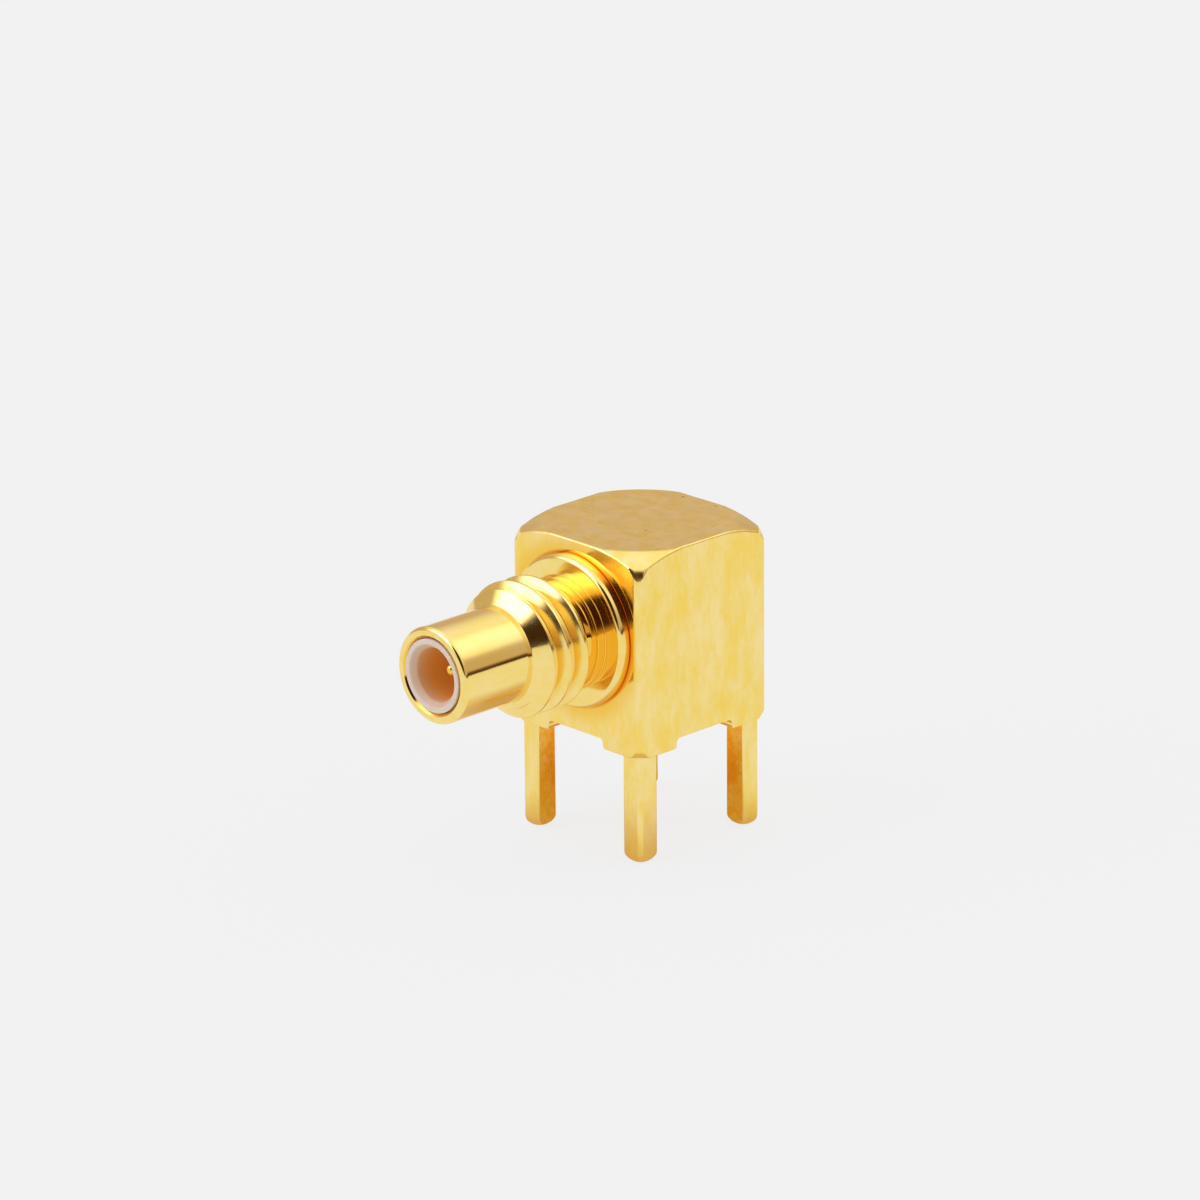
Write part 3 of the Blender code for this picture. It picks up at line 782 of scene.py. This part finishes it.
# %% Insulators and pins
PRESS_GAP = 0.02 * MM
SLEEVE_RADIUS = BORE_RADIUS - PRESS_GAP
SLEEVE_BORE = 0.955 * MM
SLEEVE_REAR = BODY_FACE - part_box("front_insulator")[1].y
SLEEVE_FLOOR = SLEEVE_REAR + 0.80 * MM
PIN_RADIUS = 0.25 * MM
PIN_HOLE = PIN_RADIUS + PRESS_GAP
CONTACT_TIP = BODY_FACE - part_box("centre_contact")[0].y
CONTACT_REAR = BODY_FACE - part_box("centre_contact")[1].y
CONTACT_RADIUS = 0.45 * MM
COLLAR_RADIUS = 0.62 * MM
COLLAR_LENGTH = 0.40 * MM
TAIL_RADIUS = 0.38 * MM
TAIL_TOP_RADIUS = 0.24 * MM
TAIL_INSULATOR_RADIUS = 1.29 * MM
LEAD_IN = 0.17 * MM
LEAD_IN_DEPTH = 0.22 * MM

sleeve = turn_on_barrel("lining_sleeve", [
    (PIN_HOLE, SLEEVE_REAR, 0),
    (SLEEVE_RADIUS, SLEEVE_REAR, 0.08 * MM),
    (SLEEVE_RADIUS, TUBE_FRONT, FINE_ROUND),
    (SLEEVE_BORE + LEAD_IN, TUBE_FRONT, 0.06 * MM),
    (SLEEVE_BORE, TUBE_FRONT - LEAD_IN_DEPTH, 0.12 * MM),
    (SLEEVE_BORE, SLEEVE_FLOOR, 0.06 * MM),
    (PIN_HOLE, SLEEVE_FLOOR, 0.02 * MM),
], 128)
settle(sleeve, wax, ["front_insulator"])

collar_front = SLEEVE_REAR - SEAT_GAP
contact = turn_on_barrel("contact_pin", [
    (0, CONTACT_REAR, 0),
    (CONTACT_RADIUS, CONTACT_REAR, 0.08 * MM),
    (CONTACT_RADIUS, collar_front - COLLAR_LENGTH, 0),
    (COLLAR_RADIUS, collar_front - COLLAR_LENGTH, FINE_ROUND),
    (COLLAR_RADIUS, collar_front, FINE_ROUND),
    (PIN_RADIUS, collar_front, 0),
    (PIN_RADIUS, CONTACT_TIP, 0.20 * MM),
    (0, CONTACT_TIP, 0),
], 96)
cross_hole = turn_upright("cross_hole", [
    (0, BARREL_HEIGHT - COLLAR_RADIUS, 0),
    (TAIL_TOP_RADIUS + PRESS_GAP, BARREL_HEIGHT - COLLAR_RADIUS, 0),
    (TAIL_TOP_RADIUS + PRESS_GAP, BARREL_HEIGHT + COLLAR_RADIUS, 0),
    (0, BARREL_HEIGHT + COLLAR_RADIUS, 0),
], 48)
cut(contact, cross_hole)
settle(contact, bright, ["centre_contact"])

tail_low, tail_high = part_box("tail_pin")
tail_shoulder = BARREL_HEIGHT - CONTACT_RADIUS - SEAT_GAP
tail = turn_upright("board_pin", [
    (0, tail_low.z, 0),
    (TAIL_RADIUS, tail_low.z, 0.34 * MM),
    (TAIL_RADIUS, tail_shoulder, FINE_ROUND),
    (TAIL_TOP_RADIUS, tail_shoulder, 0),
    (TAIL_TOP_RADIUS, tail_high.z, FINE_ROUND),
    (0, tail_high.z, 0),
], 96)
settle(tail, bright, ["tail_pin"])

bush_low, bush_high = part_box("tail_insulator")
bush = turn_upright("tail_bush", [
    (TAIL_RADIUS + PRESS_GAP, bush_low.z, 0.02 * MM),
    (TAIL_INSULATOR_RADIUS, bush_low.z, 0.04 * MM),
    (TAIL_INSULATOR_RADIUS, bush_high.z, 0.08 * MM),
    (TAIL_RADIUS + PRESS_GAP, bush_high.z, 0),
], 128)
settle(bush, wax, ["tail_insulator"])
hidden_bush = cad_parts["rear_insulator"]
hidden_bush.data.materials.clear()
hidden_bush.data.materials.append(wax)

# %% [markdown]
# The body starts as a cube of the bar's size. Its upright corners are turned off, and a coned drum
# trims the top and the foot, as on a lathe. The drum's facets are placed so that their edges fall
# where the cone runs out of a side face, which leaves no slivers. Each turned corner runs into the
# top cone with a broad round of its own. The other edges are then rounded by the amount that
# tumbling wore off, because the light that runs along a small round makes a plated edge look real.

# %% Body block
body_low, body_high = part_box("body")
BODY_HALF = body_high.x
BODY_TOP = body_high.z
CORNER_RADIUS = 4.35 * MM
TOP_LEAN_INSIDE = math.radians(14)
TOP_LEAN_OUTSIDE = math.radians(31)
TOP_BOW_END = 4.156 * MM
FOOT_RADIUS = 4.16 * MM
FOOT_RISE = 0.28 * MM
TOP_EDGE_ROUND = 0.07 * MM
FOOT_EDGE_ROUND = 0.05 * MM
CORNER_TIP_ROUND = 0.42 * MM
SLIVER = 0.003 * MM
LEVEL = 0.0003 * MM
OVERSIZE = 1 * MM
DRUM_FACETS = 96
DRUM_RADIUS = 5 * MM
half_facet = math.pi / DRUM_FACETS
TOP_FACETS = 9
CONE_FACETS = (13, 17, 21)
TOP_RADIUS = BODY_HALF / math.cos(TOP_FACETS * half_facet)


def pick_edges(piece, wanted, sharper_than=0):
    """Opens edit mode with the wanted edges selected; wanted takes an edge's middle and its run."""
    start()
    bpy.context.view_layer.objects.active = piece
    piece.select_set(True)
    bpy.ops.object.mode_set(mode="EDIT")
    bpy.ops.mesh.select_mode(type="EDGE")
    bpy.ops.mesh.select_all(action="DESELECT")
    bpy.ops.mesh.edges_select_sharp(sharpness=math.radians(sharper_than))
    bpy.ops.object.mode_set(mode="OBJECT")
    sharp = {edge.index for edge in piece.data.edges if edge.select}
    bpy.ops.object.mode_set(mode="EDIT")
    bpy.ops.mesh.select_all(action="DESELECT")
    bpy.ops.object.mode_set(mode="OBJECT")
    for edge in piece.data.edges:
        first, last = (piece.data.vertices[i].co for i in edge.vertices)
        edge.select = edge.index in sharp and wanted((first + last) / 2, last - first)
    print(piece.name, "edges picked", sum(edge.select for edge in piece.data.edges))
    bpy.ops.object.mode_set(mode="EDIT")


def is_upright(middle, run):
    return abs(run.z) > 0.9 * run.length


def is_corner_tip(middle, run):
    """The short level edge between a turned corner and the top cone."""
    diagonal = abs(abs(middle.x) - abs(middle.y)) < SLIVER
    level = abs(run.z) < SLIVER
    return diagonal and level and middle.z > BODY_TOP / 2 and middle.xy.length > TOP_RADIUS + SLIVER


def round_edges(piece, wanted, width, segments, sharper_than):
    pick_edges(piece, wanted, sharper_than)
    bpy.ops.mesh.bevel(offset=width, offset_type="OFFSET", segments=segments, affect="EDGES")
    bpy.ops.object.mode_set(mode="OBJECT")


start()
bpy.ops.mesh.primitive_cube_add(size=1, location=(0, 0, BODY_TOP / 2), scale=(
    2 * BODY_HALF, 2 * BODY_HALF, BODY_TOP + 2 * OVERSIZE))
body = bpy.context.object
body.name = "milled_body"
bpy.ops.object.transform_apply(location=True, rotation=True, scale=True)
round_edges(body, is_upright, CORNER_RADIUS * math.sin(half_facet) * math.sqrt(2), 1, 30)

half_sweep = (TOP_LEAN_OUTSIDE - TOP_LEAN_INSIDE) / 2
bow = (TOP_BOW_END - TOP_RADIUS) / (2 * math.cos(TOP_LEAN_INSIDE + half_sweep) * math.sin(half_sweep))
bow_axis = TOP_RADIUS - bow * math.sin(TOP_LEAN_INSIDE)
bow_level = BODY_TOP - bow * math.cos(TOP_LEAN_INSIDE)
cone = [(TOP_RADIUS, BODY_TOP, 0)]
for facets in CONE_FACETS:
    radius = BODY_HALF / math.cos(facets * half_facet)
    cone.append((radius, bow_level + math.sqrt(bow ** 2 - (radius - bow_axis) ** 2), 0))
outer_radius, outer_height, no_round = cone[-1]
cone.append((DRUM_RADIUS, outer_height - (DRUM_RADIUS - outer_radius) * math.tan(TOP_LEAN_OUTSIDE), 0))
foot_slope = FOOT_RISE / (CORNER_RADIUS - FOOT_RADIUS)
drum = turn_upright("coned_drum", [
    (0, 0, 0),
    (FOOT_RADIUS, 0, 0),
    (DRUM_RADIUS, (DRUM_RADIUS - FOOT_RADIUS) * foot_slope, 0),
    *reversed(cone),
    (0, BODY_TOP, 0),
], DRUM_FACETS)
drum.rotation_euler.z = half_facet
cut(body, drum, "INTERSECT")
pick_edges(body, lambda middle, run: True)
bpy.ops.mesh.select_all(action="SELECT")
bpy.ops.mesh.remove_doubles(threshold=SLIVER)
bpy.ops.object.mode_set(mode="OBJECT")
round_edges(body, is_corner_tip, CORNER_TIP_ROUND, 6, 30)
round_edges(body, lambda middle, run: middle.z > BODY_TOP / 4, TOP_EDGE_ROUND, 5, 30)
round_edges(body, lambda middle, run: middle.z < BODY_TOP / 8, FOOT_EDGE_ROUND, 3, 30)
print("block", len(body.data.polygons), "faces")

# %% [markdown]
# Two milled channels cross under the body and leave its four pads. The cutter's corners leave a small
# fillet in the roof, and the pads' inner edges are rounded in the same pass. The channel could be
# four separate pads added below a plain block, but cutting it is how it was made, and it keeps the
# side faces in one piece with the pads.

# %% Channels
PAD_WIDTH = 1.82 * MM
PAD_HEIGHT = 0.375 * MM
PAD_EDGE_ROUND = 0.14 * MM
CHANNEL_FILLET = 0.16 * MM
channel_half = BODY_HALF - PAD_WIDTH


def arc_points(x, z, radius, first, last):
    """Points of an arc round (x, z), angles in degrees."""
    turns = [math.radians(first + (last - first) * step / ROUND_STEPS) for step in range(ROUND_STEPS + 1)]
    return [Vector((x + radius * math.cos(turn), z + radius * math.sin(turn))) for turn in turns]


def channel(turn):
    """The milling cutter's path between two pads, through the whole body."""
    lip = arc_points(channel_half + PAD_EDGE_ROUND, PAD_EDGE_ROUND, PAD_EDGE_ROUND, -90, -180)
    roof = arc_points(channel_half - CHANNEL_FILLET, PAD_HEIGHT - CHANNEL_FILLET, CHANNEL_FILLET, 0, 90)
    right = [Vector((channel_half + PAD_EDGE_ROUND, -OVERSIZE))] + lip + roof
    outline = right + [Vector((-p.x, p.y)) for p in reversed(right)]
    reach = 2 * BODY_HALF
    piece = draw_outline("channel", [Vector((p.x, -reach, p.y)) for p in outline])
    bpy.ops.mesh.edge_face_add()
    bpy.ops.mesh.extrude_region_move(TRANSFORM_OT_translate={"value": (0, 2 * reach, 0)})
    close_mesh(piece)
    piece.rotation_euler.z = turn
    return piece


cut(body, channel(0))
cut(body, channel(math.pi / 2))
print("milled block", len(body.data.polygons), "faces")

# %% [markdown]
# The four legs are milled from the same bar. A leg is drawn as a soft-cornered square whose outer
# corner was turned off, extruded downwards, and drawn in step by step at its end. A turned dome then
# trims the end's corners, because a tip that is only drawn in stays square and shows a point from the
# corner. The other three legs are copies turned about the body's axis.

# %% Legs
LEG_PITCH = 5.08 * MM
LEG_WIDTH = 0.85 * MM
LEG_TURNED_RADIUS = 4.10 * MM
LEG_EDGE_ROUND = 0.08 * MM
TIP_INSET = 0.22 * MM
TIP_LENGTH = 0.36 * MM
TIP_DOME_RADIUS = 0.62 * MM
TIP_DOME_ROUND = 0.50 * MM
TIP_STEPS = 9

leg_end = body_low.z
leg_top = PAD_HEIGHT / 2
leg_side = LEG_PITCH / 2
half_leg = LEG_WIDTH / 2
turned_off = ((leg_side + half_leg) * math.sqrt(2) - LEG_TURNED_RADIUS) * math.sqrt(2)
leg_outline = rounded([
    (-half_leg, half_leg, LEG_EDGE_ROUND),
    (-half_leg, -half_leg, LEG_EDGE_ROUND),
    (half_leg - turned_off, -half_leg, LEG_EDGE_ROUND),
    (half_leg, turned_off - half_leg, LEG_EDGE_ROUND),
    (half_leg, half_leg, LEG_EDGE_ROUND),
])
leg = draw_outline("leg", [Vector((leg_side + p.x, p.y - leg_side, leg_top)) for p in leg_outline])
bpy.ops.mesh.edge_face_add()
bpy.ops.mesh.extrude_region_move(
    TRANSFORM_OT_translate={"value": (0, 0, leg_end + TIP_LENGTH - leg_top)})
size_now = LEG_WIDTH
depth_now = 0
for step in range(1, TIP_STEPS + 1):
    angle = math.pi / 2 * step / TIP_STEPS
    size_next = LEG_WIDTH - 2 * TIP_INSET * (1 - math.cos(angle))
    depth_next = TIP_LENGTH * math.sin(angle)
    bpy.ops.mesh.extrude_region_move(TRANSFORM_OT_translate={"value": (0, 0, depth_now - depth_next)})
    shrink = size_next / size_now
    bpy.ops.transform.resize(value=(shrink, shrink, 1), center_override=(leg_side, -leg_side, 0))
    size_now = size_next
    depth_now = depth_next
close_mesh(leg)
dome = turn_upright("tip_dome", [
    (0, leg_end, 0),
    (TIP_DOME_RADIUS, leg_end, TIP_DOME_ROUND),
    (TIP_DOME_RADIUS, OVERSIZE, 0),
    (0, OVERSIZE, 0),
], 96)
dome.location = (leg_side, -leg_side, 0)
cut(leg, dome, "INTERSECT")
print("leg", len(leg.data.polygons), "faces")
for quarter in range(4):
    start()
    bpy.context.view_layer.objects.active = leg
    leg.select_set(True)
    bpy.ops.object.duplicate()
    copied = bpy.context.object
    copied.rotation_euler.z = quarter * math.pi / 2
    cut(body, copied, "UNION")
bpy.data.objects.remove(leg)

# %% [markdown]
# The bores come last, as on the machine: the barrel's seat and the cavity from the front, and the
# tail insulator's bore from below. They hardly show in the picture, but the piece stands for the CAD
# body, so its hidden side is finished the same way. The flat top is then made one level face, because
# a face in many parts would take a little of the cone's slope at its edge and mirror it as a star.

# %% Bores
CAVITY_RADIUS = 1.15 * MM
CAVITY_DEPTH = 4.175 * MM
TAIL_BORE_TOP = BARREL_HEIGHT + 0.80 * MM
seat = SPIGOT_RADIUS + PRESS_GAP
seat_floor = -SPIGOT_LENGTH - SEAT_GAP
cut(body, turn_on_barrel("front_bore", [
    (0, -CAVITY_DEPTH, 0),
    (CAVITY_RADIUS, -CAVITY_DEPTH, 0),
    (CAVITY_RADIUS, seat_floor, 0),
    (seat, seat_floor, 0),
    (seat, OVERSIZE, 0),
    (0, OVERSIZE, 0),
], 96))
cut(body, turn_upright("tail_bore", [
    (0, -OVERSIZE, 0),
    (TAIL_INSULATOR_RADIUS + PRESS_GAP, -OVERSIZE, 0),
    (TAIL_INSULATOR_RADIUS + PRESS_GAP, TAIL_BORE_TOP, 0),
    (0, TAIL_BORE_TOP, 0),
], 96))
pick_edges(body, lambda middle, run: middle.z > BODY_TOP - SLIVER)
bpy.ops.transform.resize(value=(1, 1, 0), center_override=(0, 0, BODY_TOP))
bpy.ops.mesh.select_mode(type="FACE")
bpy.ops.object.mode_set(mode="OBJECT")
for face in body.data.polygons:
    face.select = face.center.z > BODY_TOP - LEVEL
print("flat top", sum(face.select for face in body.data.polygons), "faces made one")
bpy.ops.object.mode_set(mode="EDIT")
bpy.ops.mesh.dissolve_faces()
bpy.ops.mesh.remove_doubles(threshold=SLIVER)
bpy.ops.object.mode_set(mode="OBJECT")
settle(body, satin, ["body"])

# %% [markdown]
# The sizes are written down twice, once as the frame gave them and once as the dressed pieces have
# them, so that anyone can see that the looks stay inside the solids' own box.

# %% Sizes
dressed = [list(corner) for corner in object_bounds()]
for name, corners in (("cad", CAD_BOX), ("dressed", dressed)):
    print(name, [[round(value / MM, 4) for value in corner] for corner in corners])
